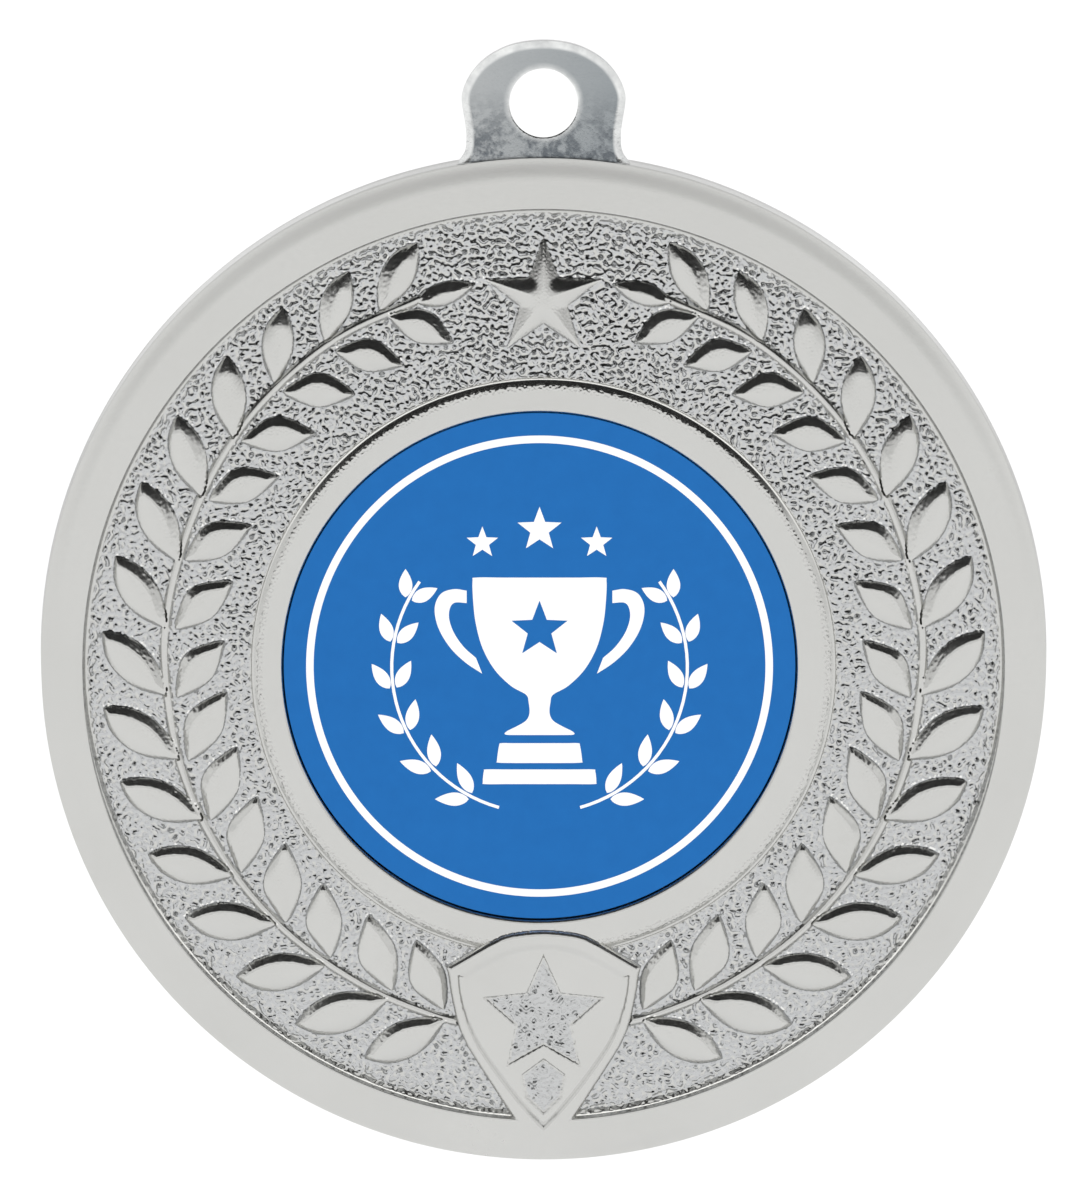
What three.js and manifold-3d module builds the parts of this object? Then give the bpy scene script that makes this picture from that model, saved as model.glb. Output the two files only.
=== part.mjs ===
// A 50 mm victory medal: one die-cast metal body with a laurel wreath, a star, a shield and a hanging lug, and a printed disc glued into a
// round recess in the middle of the face. Millimetres, +Z up, the face looks along -Y, and the origin is in the middle of the hanging hole.
import * as THREE from "three";
import Module from "manifold-3d";
import { mergeVertices } from "three/examples/jsm/utils/BufferGeometryUtils.js";

const wasm = await Module();
wasm.setup();

// Everything below is drawn in the die's frame: x to the right, y up the face, z out of the face, with 0 in the middle of the disc.

// disc
const R_OUT = 25.0; // outer radius
const HALF = 1.5; // half of the 3 mm thickness
const R_FRONT = 24.74; // outer edge of the face, where the drafted side starts
const SWELL_FRONT = 0.45; // above the middle the rim is this much wider at the face, most at the top
const SWELL_BACK = 0.3; // and this much at the back
const BACK_EDGE = 0.2; // rounding of the back edge
const R_RIM_IN = 22.78; // inner edge of the flat rim
const R_FIELD = 22.42; // foot of the rim's inner wall
const Z_FIELD = 0.95; // floor of the field
const R_RING_OUT = 14.43; // foot of the raised ring
const R_RING_TOP = 14.06; // outer edge of the ring's flat top
const Z_LEDGE = 1.03; // narrow ledge halfway down the outside of the ring
const Z_RING = 1.25; // top of the ring
const R_RECESS = 12.675; // the recess for the printed disc
const RECESS_X = -0.2; // it sits a little to the left of and above the middle
const RECESS_Y = 0.075;
const Z_RECESS = 0.7; // floor of the recess
const R_BACK = 22.6; // shallow engraving recess on the back
const BACK_D = 0.25;

// hanging lug, a thinner plate on the middle plane of the disc
const LUG_Y = 27.83; // hole centre above the disc centre
const LUG_HOLE_R = 1.67;
const LUG_HALF = 0.8;
const LUG_EDGE_W = 0.12; // rounding of the lug's edge
const LUG_EDGE_D = 0.1;
const LUG_HALF_OUTLINE = [
  [0, 30.84], [0.85, 30.78], [1.65, 30.6], [2.4, 30.26], [3.02, 29.82], [3.5, 29.28], [3.82, 28.72], [3.98, 28.2],
  [3.96, 27.7], [3.86, 27.1], [3.77, 26.5], [3.76, 26.05], [3.78, 25.7], [3.88, 25.35], [4.08, 25.05], [4.3, 24.8], [4.4, 24.4], [4.3, 23.6],
];

// wreath: for each leaf the angle from the top and the radius of its tip and of its base, on the right half; the left half is the mirror image
const OUTER_LEAVES = [
  [16.3, 21.97, 24.5, 19.48], [25.8, 21.87, 33.5, 19.48], [35.5, 21.97, 43, 19.38], [45, 21.97, 53, 19.08], [55, 21.97, 63, 18.89],
  [64.8, 21.87, 73.5, 18.79], [75, 21.82, 83.7, 18.79], [85, 21.85, 94, 18.69], [95, 21.87, 104, 18.59], [105, 21.77, 114, 18.49],
  [115.3, 21.75, 124, 18.59], [125, 21.82, 134, 18.49], [135.3, 21.82, 144, 18.49], [145.3, 21.82, 155, 18.39], [155.5, 21.62, 164.5, 18.39],
];
const INNER_LEAVES = [
  [15.3, 16.7, 23.5, 19.08], [24.5, 16.5, 33, 18.79], [34, 16.4, 43, 18.79], [43.7, 16.15, 52.7, 18.69], [53.5, 16.1, 63, 18.49],
  [63.5, 16.0, 73, 18.49], [74, 15.85, 83.8, 18.29], [84.8, 15.75, 94.5, 18.19], [94, 15.65, 104.7, 18.19], [104.3, 15.6, 114.8, 18.19],
  [114.2, 15.5, 124.3, 18.19], [124.3, 15.45, 135, 18.09], [134.5, 15.3, 144, 17.99], [144.8, 15.05, 155.2, 17.89], [155, 15.0, 164, 17.89],
];
const END_LEAF = [9.8, 19.33, 19, 19.18];
// leaf outlines: how far along from tip to base, and how far to the side, both as a share of the length
const OUTER_PLUS = [[0.1, 0.09], [0.3, 0.182], [0.55, 0.208], [0.8, 0.138]];
const OUTER_MINUS = [[0.1, 0.095], [0.3, 0.197], [0.55, 0.216], [0.82, 0.13]];
const INNER_PLUS = [[0.11, 0.065], [0.32, 0.151], [0.55, 0.188], [0.8, 0.122]];
const INNER_MINUS = [[0.09, 0.095], [0.3, 0.228], [0.53, 0.286], [0.8, 0.17]];
const END_SIDE = [[0.12, 0.08], [0.35, 0.17], [0.62, 0.19], [0.85, 0.11]];
const LEAF_EDGE = 0.3; // width of the leaf's sloping side
const LEAF_SHOULDER = 0.38; // height of the top of that slope above the field
const LEAF_CREST = 0.43; // height of the middle of the leaf
// stem: angle from the top and radius
const STEM = [
  [18, 19.28], [30, 19.26], [40, 19.18], [50, 19.08], [60, 18.92], [70, 18.79], [80, 18.76], [90, 18.69], [105, 18.59], [120, 18.49],
  [135, 18.39], [150, 18.29], [162, 18.29], [169, 18.29],
];
const STEM_HALF = 0.18;
const STEM_H = 0.24;

// star over the wreath
const STAR = { x: 0, y: 18.34, r: 3.12, inner: 0.41, top: 0.62, crest: 0.48 };

// shield at the bottom, with a sunk panel and a star and a small pentagon sunk down to the field
const Z_PANEL = 1.31;
const SHIELD_HALF = [
  [0, -13.07], [1.05, -13.14], [2.1, -13.31], [3.42, -14.11], [4.87, -14.96], [4.75, -15.29], [4.57, -16.55], [4.33, -17.81], [3.84, -18.91],
  [3.01, -20.26], [2.19, -21.62], [1.5, -22.7], [1.3, -23.6],
];
const PANEL_HALF = [
  [0, -13.67], [1.05, -13.77], [2.1, -14.02], [3.2, -14.6], [4.28, -15.31], [4.2, -16.21], [3.84, -17.81], [3.26, -19.07], [2.19, -20.61],
  [1.45, -21.62],
];
const PANEL_TIP = [0, -23.2];
const SUNK_STAR = { x: 0, y: -17.46, r: 3.23, inner: 0.47 };
const SUNK_PENTAGON = [[0, -19.55], [1.14, -20.43], [0.92, -21.6], [0, -22.55], [-0.92, -21.6], [-1.14, -20.43]];
const Z_SUNK = 1.2;

// printed disc, 25 mm centre
const R_INSERT = 12.62;
const INSERT_X = -0.2;
const INSERT_Y = 0.115; // pressed against the upper wall of its recess
const GAP = 0.015;
const ADHESIVE_T = 0.12;
const DISC_T = 0.37;

// ---- solids ----

const rad = (d) => (d * Math.PI) / 180;
const polar = (deg, r, side) => new THREE.Vector2(side * r * Math.sin(rad(deg)), r * Math.cos(rad(deg)));

function solid(geometry) {
  const g = geometry.clone();
  g.deleteAttribute("normal");
  g.deleteAttribute("uv");
  const m = mergeVertices(g, 1e-4);
  return new wasm.Manifold(
    new wasm.Mesh({
      numProp: 3,
      vertProperties: new Float32Array(m.attributes.position.array),
      triVerts: new Uint32Array(m.index.array),
    }),
  );
}

function geometryOf(manifold) {
  const mesh = manifold.getMesh();
  const n = mesh.numProp;
  const count = mesh.vertProperties.length / n;
  const pos = new Float32Array(count * 3);
  for (let i = 0; i < count; i++) for (let k = 0; k < 3; k++) pos[i * 3 + k] = mesh.vertProperties[i * n + k];
  const g = new THREE.BufferGeometry();
  g.setAttribute("position", new THREE.BufferAttribute(pos, 3));
  g.setIndex(new THREE.BufferAttribute(new Uint32Array(mesh.triVerts), 1));
  g.computeVertexNormals();
  return g;
}

// A closed profile of [radius, z] turned about the disc's axis.
function turned(profile, segments, x = 0, y = 0) {
  const g = new THREE.LatheGeometry(profile.map(([r, z]) => new THREE.Vector2(r, z)), segments);
  g.rotateX(Math.PI / 2); // the lathe's y is the die's z
  g.translate(x, y, 0);
  return g;
}

// A plane shape pushed out of the face from z0 to z1.
function prism(points, z0, z1) {
  const g = new THREE.ExtrudeGeometry(new THREE.Shape(points), { depth: z1 - z0, bevelEnabled: false });
  g.translate(0, 0, z0);
  return g;
}

// A solid between two loops with the same number of points, capped by fans from a low and a high middle point.
function loft(lower, upper, low, high) {
  const n = lower.length;
  const area = lower.reduce((a, p, i) => a + p.x * lower[(i + 1) % n].y - lower[(i + 1) % n].x * p.y, 0);
  if (area < 0) {
    lower = [...lower].reverse();
    upper = [...upper].reverse();
  }
  const pos = [...lower, ...upper, low, high].flatMap((p) => [p.x, p.y, p.z]);
  const index = [];
  for (let i = 0; i < n; i++) {
    const j = (i + 1) % n;
    index.push(i, j, n + j, i, n + j, n + i); // side
    index.push(2 * n, j, i); // underside
    index.push(2 * n + 1, n + i, n + j); // top
  }
  const g = new THREE.BufferGeometry();
  g.setAttribute("position", new THREE.Float32BufferAttribute(pos, 3));
  g.setIndex(index);
  return g;
}

function star({ x, y, r, inner }, scale = 1) {
  const points = [];
  for (let i = 0; i < 10; i++) {
    const a = rad(90 + 36 * i);
    const q = (i % 2 ? inner * r : r) * scale;
    points.push(new THREE.Vector2(x + q * Math.cos(a), y + q * Math.sin(a)));
  }
  return points;
}

const mirrored = (half, tip) => {
  const right = half.map(([x, y]) => new THREE.Vector2(x, y));
  const left = half.filter(([x]) => x > 0).map(([x, y]) => new THREE.Vector2(-x, y)).reverse();
  return [...right, ...(tip ? [new THREE.Vector2(...tip)] : []), ...left];
};

function leaf([tipAngle, tipR, baseAngle, baseR], plus, minus, side) {
  const tip = polar(tipAngle, tipR, 1);
  const along = polar(baseAngle, baseR, 1).sub(tip);
  const length = along.length();
  const across = new THREE.Vector2(along.y, -along.x);
  const at = (t, e) => new THREE.Vector2(tip.x + along.x * t + across.x * e, tip.y + along.y * t + across.y * e);
  const loop = [[0, 0], ...plus, [1, 0], ...minus.map(([t, e]) => [t, -e]).reverse()];
  const mid = (t) => {
    const e = (list) => {
      const all = [[0, 0], ...list, [1, 0]];
      const i = Math.max(1, all.findIndex(([s]) => s >= t));
      const [a, b] = [all[i - 1], all[i]];
      return a[1] + ((b[1] - a[1]) * (t - a[0])) / (b[0] - a[0]);
    };
    return (e(plus) - e(minus)) / 2;
  };
  const lower = [];
  const upper = [];
  for (const [t, e] of loop) {
    const s = 0.13 + 0.74 * t; // the top stops short of the tip and the base
    const m = mid(t);
    const half = Math.abs(e - m) * length;
    const keep = half > 0 ? Math.max(0.25, 1 - LEAF_EDGE / half) : 0;
    const p = at(t, e);
    const q = at(s, mid(s) + (e - m) * keep);
    lower.push(new THREE.Vector3(side * p.x, p.y, Z_FIELD - 0.1));
    upper.push(new THREE.Vector3(side * q.x, q.y, Z_FIELD + LEAF_SHOULDER));
  }
  const c = at(0.5, mid(0.5));
  return loft(lower, upper, new THREE.Vector3(side * c.x, c.y, Z_FIELD - 0.1), new THREE.Vector3(side * c.x, c.y, Z_FIELD + LEAF_CREST));
}

function stem(side) {
  const points = [
    ...STEM.map(([a, r]) => polar(a, r + STEM_HALF, side)),
    ...STEM.map(([a, r]) => polar(a, r - STEM_HALF, side)).reverse(),
  ];
  if (side > 0) points.reverse();
  return prism(points, Z_FIELD - 0.1, Z_FIELD + STEM_H);
}

function body() {
  const backEdge = [0, 30, 60, 90].map((a) => [R_OUT - BACK_EDGE * (1 - Math.cos(rad(a))), -HALF + BACK_EDGE * (1 - Math.sin(rad(a)))]);
  const profile = [
    [0, Z_RING], [R_RING_TOP - 0.03, Z_RING], [R_RING_TOP + 0.03, Z_RING - 0.015], [R_RING_OUT - 0.1, Z_LEDGE], [R_RING_OUT - 0.02, Z_LEDGE - 0.01],
    [R_RING_OUT + 0.03, Z_FIELD], [R_FIELD, Z_FIELD], [R_RIM_IN, HALF], [R_FRONT - 0.74, HALF], [R_FRONT - 0.28, HALF - 0.055], [R_FRONT, HALF - 0.085],
    [R_FRONT + 0.13, 0.2], [R_OUT - 0.03, -0.85], ...backEdge,
    [R_BACK + 0.2, -HALF], [R_BACK, -HALF + BACK_D], [0, -HALF + BACK_D],
  ].reverse();
  const turn = turned(profile, 120);
  const pos = turn.attributes.position;
  for (let i = 0; i < pos.count; i++) {
    const [x, y, z] = [pos.getX(i), pos.getY(i), pos.getZ(i)];
    const r = Math.hypot(x, y);
    if (r < 23.2 || y <= 0) continue;
    const deep = Math.min(1, Math.max(0, (HALF - 0.1 - z) / 2.2));
    const grow = (SWELL_FRONT + (SWELL_BACK - SWELL_FRONT) * deep) * Math.min(1, (r - 23.2) / (R_FRONT - 23.2)) * (y / r);
    pos.setXY(i, x * (1 + grow / r), y * (1 + grow / r));
  }
  let disc = solid(turn);
  const recess = [[0, Z_RECESS], [R_RECESS, Z_RECESS], [R_RECESS + 0.02, Z_RING - 0.11], [R_RECESS + 0.15, Z_RING], [R_RECESS + 0.15, HALF + 1], [0, HALF + 1]];
  disc = disc.subtract(solid(turned(recess, 120, RECESS_X, RECESS_Y)));

  const lugShape = new THREE.Shape(mirrored(LUG_HALF_OUTLINE));
  const lug = new THREE.ExtrudeGeometry(lugShape, {
    depth: 2 * (LUG_HALF - LUG_EDGE_D), bevelEnabled: true, bevelThickness: LUG_EDGE_D, bevelSize: LUG_EDGE_W, bevelOffset: -LUG_EDGE_W, bevelSegments: 2,
  });
  lug.translate(0, 0, -(LUG_HALF - LUG_EDGE_D));
  // The lug ends under the rim and doesn't reach the field.
  disc = disc.add(solid(lug));

  const raised = [];
  for (const side of [1, -1]) {
    for (const l of OUTER_LEAVES) raised.push(solid(leaf(l, OUTER_PLUS, OUTER_MINUS, side)));
    for (const l of INNER_LEAVES) raised.push(solid(leaf(l, INNER_PLUS, INNER_MINUS, side)));
    raised.push(solid(leaf(END_LEAF, END_SIDE, END_SIDE, side)));
    raised.push(solid(stem(side)));
  }
  const flat = (points, z) => points.map((p) => new THREE.Vector3(p.x, p.y, z));
  raised.push(
    solid(loft(flat(star(STAR), Z_FIELD - 0.05), flat(star(STAR, STAR.top), Z_FIELD + STAR.crest - 0.03),
      new THREE.Vector3(STAR.x, STAR.y, Z_FIELD - 0.05), new THREE.Vector3(STAR.x, STAR.y, Z_FIELD + STAR.crest))),
  );
  raised.push(solid(prism(mirrored(SHIELD_HALF), Z_FIELD - 0.1, HALF)));
  let all = wasm.Manifold.union([disc, ...raised]);
  all = all.subtract(solid(prism(mirrored(PANEL_HALF, PANEL_TIP), Z_PANEL, HALF + 0.5)));
  all = all.subtract(solid(prism(star(SUNK_STAR), Z_SUNK, HALF + 0.5)));
  all = all.subtract(solid(prism(SUNK_PENTAGON.map(([x, y]) => new THREE.Vector2(x, y)), Z_SUNK, HALF + 0.5)));
  const bore = [
    [0, -LUG_HALF - 0.2], [LUG_HOLE_R + 0.32, -LUG_HALF - 0.2], [LUG_HOLE_R, -LUG_HALF + 0.12], [LUG_HOLE_R, LUG_HALF - 0.12],
    [LUG_HOLE_R + 0.32, LUG_HALF + 0.2], [0, LUG_HALF + 0.2],
  ];
  all = all.subtract(solid(turned(bore, 40, 0, LUG_Y)));
  return geometryOf(all.setTolerance(0.002));
}

function plate(r, z0, z1, chamfer) {
  return geometryOf(solid(turned([[0, z0], [r, z0], [r, z1 - chamfer], [r - chamfer, z1], [0, z1]], 120, INSERT_X, INSERT_Y)));
}

const group = new THREE.Group();
function piece(name, geometry, material) {
  geometry.rotateX(Math.PI / 2); // out of the face is -Y, up the face is +Z
  geometry.translate(0, 0, -LUG_Y);
  geometry.computeVertexNormals();
  const mesh = new THREE.Mesh(geometry, new THREE.MeshStandardMaterial(material));
  mesh.name = name;
  group.add(mesh);
}

piece("medal_body", body(), { color: 0xb9b9b7, roughness: 0.28, metalness: 1, flatShading: true });
const zAdhesive = Z_RECESS + GAP;
const zDisc = zAdhesive + ADHESIVE_T + GAP;
piece("insert_adhesive", plate(R_INSERT - 0.4, zAdhesive, zAdhesive + ADHESIVE_T, 0.02), { color: 0xe9e6dc, roughness: 0.7, metalness: 0 });
piece("insert_disc", plate(R_INSERT, zDisc, zDisc + DISC_T, 0.05), { color: 0x286cb5, roughness: 0.45, metalness: 0 });

export default group;
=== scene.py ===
import math

import bpy
import numpy as np
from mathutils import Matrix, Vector
from mathutils.geometry import delaunay_2d_cdt


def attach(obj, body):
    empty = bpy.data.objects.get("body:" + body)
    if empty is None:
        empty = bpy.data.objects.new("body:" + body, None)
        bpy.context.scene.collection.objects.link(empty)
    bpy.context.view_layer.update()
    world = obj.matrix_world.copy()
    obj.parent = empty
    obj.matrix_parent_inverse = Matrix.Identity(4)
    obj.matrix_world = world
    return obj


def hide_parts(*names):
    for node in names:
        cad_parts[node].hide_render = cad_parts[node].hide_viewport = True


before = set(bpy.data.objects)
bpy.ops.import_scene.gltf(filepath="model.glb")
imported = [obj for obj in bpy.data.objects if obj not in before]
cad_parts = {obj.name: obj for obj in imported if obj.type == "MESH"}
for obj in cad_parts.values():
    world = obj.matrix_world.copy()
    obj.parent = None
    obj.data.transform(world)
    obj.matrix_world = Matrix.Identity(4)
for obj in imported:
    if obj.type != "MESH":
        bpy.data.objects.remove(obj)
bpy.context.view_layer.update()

# ---------------------------------------------------------------------------------------------------------------------
# Sizes. Everything on the medal is drawn in the die's frame, in millimetres: x to the right, y up the face, z out of
# the face, 0 in the middle of the disc. place() turns that into the row's frame, in metres.
# ---------------------------------------------------------------------------------------------------------------------
R_OUT, HALF = 25.0, 1.5
R_FRONT, BACK_EDGE = 24.74, 0.2
SWELL_FRONT, SWELL_BACK = 0.45, 0.3  # above the middle the rim is this much wider, most at the top
R_RIM_IN, R_FIELD, Z_FIELD = 22.78, 22.42, 0.95
R_RING_OUT, R_RING_TOP, Z_RING = 14.43, 14.06, 1.25
R_RECESS, RECESS_AT, Z_RECESS = 12.675, (-0.2, 0.075), 0.7
R_BACK, BACK_D = 22.6, 0.25
LUG_Y, LUG_HOLE_R, LUG_HALF, LUG_EDGE_W, LUG_EDGE_D = 27.83, 1.67, 0.8, 0.42, 0.3
LUG_HALF_OUTLINE = [
    (0, 30.84), (0.85, 30.78), (1.65, 30.6), (2.4, 30.26), (3.02, 29.82), (3.5, 29.28), (3.82, 28.72), (3.98, 28.2),
    (3.96, 27.7), (3.86, 27.1), (3.77, 26.5), (3.76, 26.05), (3.78, 25.7), (3.88, 25.35), (4.08, 25.05), (4.3, 24.8), (4.4, 24.4), (4.3, 23.6),
]
OUTER_LEAVES = [
    (16.3, 21.97, 24.5, 19.48), (25.8, 21.87, 33.5, 19.48), (35.5, 21.97, 43, 19.38), (45, 21.97, 53, 19.08),
    (55, 21.97, 63, 18.89), (64.8, 21.87, 73.5, 18.79), (75, 21.82, 83.7, 18.79), (85, 21.85, 94, 18.69),
    (95, 21.87, 104, 18.59), (105, 21.77, 114, 18.49), (115.3, 21.75, 124, 18.59), (125, 21.82, 134, 18.49),
    (135.3, 21.82, 144, 18.49), (145.3, 21.82, 155, 18.39), (155.5, 21.62, 164.5, 18.39),
]
INNER_LEAVES = [
    (15.3, 16.7, 23.5, 19.08), (24.5, 16.5, 33, 18.79), (34, 16.4, 43, 18.79), (43.7, 16.15, 52.7, 18.69),
    (53.5, 16.1, 63, 18.49), (63.5, 16.0, 73, 18.49), (74, 15.85, 83.8, 18.29), (84.8, 15.75, 94.5, 18.19),
    (94, 15.65, 104.7, 18.19), (104.3, 15.6, 114.8, 18.19), (114.2, 15.5, 124.3, 18.19), (124.3, 15.45, 135, 18.09),
    (134.5, 15.3, 144, 17.99), (144.8, 15.05, 155.2, 17.89), (155, 15.0, 164, 17.89),
]
END_LEAF = (9.8, 19.33, 19, 19.18)
# how far along from tip to base, and how far to the side, both as a share of the leaf's length
OUTER_PLUS = [(0.035, 0.04), (0.075, 0.075), (0.17, 0.134), (0.28, 0.178), (0.4, 0.204), (0.55, 0.208), (0.72, 0.169), (0.86, 0.113), (0.95, 0.06)]
OUTER_MINUS = [(0.04, 0.042), (0.091, 0.088), (0.198, 0.162), (0.332, 0.206), (0.489, 0.221), (0.642, 0.198), (0.783, 0.147), (0.904, 0.077), (0.97, 0.03)]
INNER_PLUS = [(0.05, 0.032), (0.107, 0.063), (0.208, 0.111), (0.318, 0.151), (0.436, 0.185), (0.571, 0.188), (0.738, 0.146), (0.895, 0.08), (0.96, 0.035)]
INNER_MINUS = [(0.03, 0.04), (0.068, 0.081), (0.182, 0.159), (0.304, 0.231), (0.419, 0.275), (0.532, 0.286), (0.664, 0.251), (0.881, 0.118), (0.96, 0.05)]
END_SIDE = [(0.05, 0.03), (0.12, 0.075), (0.25, 0.135), (0.4, 0.175), (0.55, 0.19), (0.7, 0.175), (0.85, 0.12), (0.95, 0.05)]
STEM = [
    (18, 19.28), (30, 19.26), (40, 19.18), (50, 19.08), (60, 18.92), (70, 18.79), (80, 18.76), (90, 18.69), (105, 18.59),
    (120, 18.49), (135, 18.39), (150, 18.29), (162, 18.29), (168, 18.29),
]
STEM_HALF, STEM_H = 0.23, 0.17
# height of the outer and of the inner leaves, and slope of the side that looks up, at the bottom, in the middle and at the top of the wreath
LEAF_AT, LEAF_H, LEAF_EDGE = (-17, 0, 17), ((0.34, 0.3, 0.33), (0.3, 0.27, 0.27)), (0.86, 0.66, 0.52)
LEAF_BASE_FALL, LEAF_STEP, LEAF_CROWN, LEAF_ROUND = 0.35, 0.05, 0.03, 2.3
STAR = (0.0, 18.34, 3.12, 0.41)
STAR_BEVEL, STAR_H = 1.1, 0.5
SHIELD_HALF = [
    (0, -13.07), (0.55, -13.09), (1.05, -13.14), (1.6, -13.22), (2.1, -13.36), (2.8, -13.72), (3.42, -14.09), (4.15, -14.52), (4.87, -14.94),
    (4.75, -15.4), (4.68, -16.0), (4.57, -16.65), (4.4, -17.5), (4.2, -18.2), (3.84, -19.0), (3.45, -19.65), (3.01, -20.36), (2.6, -21.0),
    (2.19, -21.66), (1.75, -22.35), (1.5, -22.75), (1.3, -23.6),
]
PANEL_HALF = [
    (0, -13.67), (0.55, -13.7), (1.05, -13.78), (1.6, -13.9), (2.1, -14.1), (2.7, -14.4), (3.2, -14.67), (3.75, -15.0), (4.28, -15.31),
    (4.25, -15.8), (4.18, -16.4), (4.04, -17.1), (3.84, -17.81), (3.58, -18.45), (3.26, -19.07), (2.75, -19.85), (2.19, -20.64), (1.45, -21.62),
    (0.75, -22.45),
]
PANEL_TIP = (0, -23.22)
SUNK_STAR = (0.0, -17.46, 3.23, 0.47)
SUNK_PENTAGON = [(0, -19.55), (1.14, -20.43), (0.92, -21.6), (0, -22.5), (-0.92, -21.6), (-1.14, -20.43)]
Z_PANEL, Z_SUNK = 1.31, 1.2
R_INSERT, INSERT_X, INSERT_Y = 12.62, -0.2, 0.115
PEBBLE_WIDTH, PEBBLE_SLOPE = 0.37, 0.62
Z_ADHESIVE, ADHESIVE_T = 0.715, 0.12
Z_DISC, DISC_T = 0.85, 0.37
MM = 0.001


def place(p):
    """Die frame in mm to row frame in metres."""
    p = np.asarray(p, float)
    return np.stack([p[..., 0], -p[..., 2], p[..., 1] - LUG_Y], axis=-1) * MM


def polar(deg, r):
    a = math.radians(deg)
    return np.array([math.sin(a) * r, math.cos(a) * r])


def smooth_curve(points, n, closed=False):
    """A Catmull-Rom curve through the points, n samples a span."""
    p = np.asarray(points, float)
    out = []
    m = len(p)
    spans = m if closed else m - 1
    for i in range(spans):
        if closed:
            a, b, c, d = p[(i - 1) % m], p[i], p[(i + 1) % m], p[(i + 2) % m]
        else:
            b, c = p[i], p[i + 1]
            a = p[i - 1] if i > 0 else 2 * b - c
            d = p[i + 2] if i + 2 < m else 2 * c - b
        for t in np.arange(n) / n:
            out.append(0.5 * (2 * b + (c - a) * t + (2 * a - 5 * b + 4 * c - d) * t * t + (3 * b - a - 3 * c + d) * t ** 3))
    if not closed:
        out.append(p[-1])
    return np.array(out)


def star_points(s):
    x, y, r, inner = s
    pts = []
    for i in range(10):
        a = math.radians(90 + 36 * i)
        q = r * (inner if i % 2 else 1)
        pts.append((x + q * math.cos(a), y + q * math.sin(a)))
    return np.array(pts)


def mirrored(half, tip=None):
    right = [tuple(p) for p in half]
    left = [(-x, y) for x, y in reversed(right) if x > 0]
    return np.array(right + ([tip] if tip else []) + left)


def leaf_outline(leaf, plus, minus, side):
    """The leaf's outline, and what its height is worked out from: its tip, its length and direction, and its two half widths along it."""
    tip, base = polar(leaf[0], leaf[1]), polar(leaf[2], leaf[3])
    along = base - tip
    across = np.array([along[1], -along[0]])
    def edge(pairs, sign):
        pts = [(0, 0)] + list(pairs) + [(1, 0)]
        return smooth_curve([(t, e * sign) for t, e in pts], 3)
    p, m = edge(plus, 1), edge(minus, -1)
    te = np.concatenate([p[:-1], m[::-1][:-1]])
    loop = tip + te[:, :1] * along + te[:, 1:] * across
    loop[:, 0] *= side
    return loop, (tip, along, side, p, m)


def leaf_dome(points, facts):
    """How high the leaf stands at each point: a dome that falls away to the tip and along both sides."""
    tip, along, side, p, m = facts
    q = points * (side, 1) - tip
    length = np.hypot(*along)
    t = (q @ along) / length ** 2
    e = (q[:, 0] * along[1] - q[:, 1] * along[0]) / length ** 2
    hi, lo = np.interp(t, p[:, 0], p[:, 1]), np.interp(t, m[:, 0], m[:, 1])
    half = np.maximum((hi - lo) / 2, 1e-4)
    half = half * length
    off = np.minimum(np.abs(e - (hi + lo) / 2) * length, half)
    inner = int(np.hypot(*tip) < 20)
    # the slope at the tip is gentler on the leaves high up
    fall = 0.8 if inner else 0.64 - 0.27 * float(soft((tip[1] - 4) / 12))
    ridge = smoothmin(fall * np.maximum(t, 0) * length, 0.06 + LEAF_BASE_FALL * np.maximum(1 - t, 0) * length, 0.04)
    tall = np.interp(points[:, 1], LEAF_AT, LEAF_H[inner])
    ridge = np.maximum(smoothmin(ridge, tall, 0.05), 0.01)
    # the side that looks up has a plain bevel, the other one is rounded
    up = np.sign(e - (hi + lo) / 2) * -along[0] / length
    bevel = soft((up - 0.05) / 0.35)
    ragged = 0.1 * stipple(points[:, 0] * 1.2 + 5, points[:, 1] * 1.2 - 7)
    cut = np.interp(points[:, 1], LEAF_AT, LEAF_EDGE) * (half - off)
    cut = smoothmin(np.maximum(cut + ragged * np.clip(cut / 0.08, 0, 1), 0), ridge, 0.03)
    rounded = ridge * (1 - (off / half) ** LEAF_ROUND)
    crown = LEAF_CROWN * (1 - (off / half) ** 2) * np.clip(ridge / 0.2, 0, 1)
    return np.maximum(bevel * cut + (1 - bevel) * rounded, 0) + crown


def signed(points, poly):
    """(signed distance, positive inside; unit vector from the nearest edge point towards the inside) for each point."""
    a, b = poly, np.roll(poly, -1, axis=0)
    ab = b - a
    px, py = points[:, 0][:, None], points[:, 1][:, None]
    t = np.clip(((px - a[:, 0]) * ab[:, 0] + (py - a[:, 1]) * ab[:, 1]) / (ab ** 2).sum(1), 0, 1)
    qx, qy = a[:, 0] + t * ab[:, 0], a[:, 1] + t * ab[:, 1]
    d2 = (px - qx) ** 2 + (py - qy) ** 2
    k = d2.argmin(1)
    row = np.arange(len(points))
    d = np.sqrt(d2[row, k])
    crossing = ((a[:, 1] > py) != (b[:, 1] > py)) & (px < a[:, 0] + (py - a[:, 1]) * ab[:, 0] / np.where(ab[:, 1] == 0, 1e-12, ab[:, 1]))
    inside = crossing.sum(1) % 2 == 1
    away = np.stack([points[:, 0] - qx[row, k], points[:, 1] - qy[row, k]], 1)
    return np.where(inside, d, -d), away


def near(x, y, poly, margin):
    lo, hi = poly.min(0) - margin, poly.max(0) + margin
    return np.nonzero((x > lo[0]) & (x < hi[0]) & (y > lo[1]) & (y < hi[1]))[0]


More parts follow.
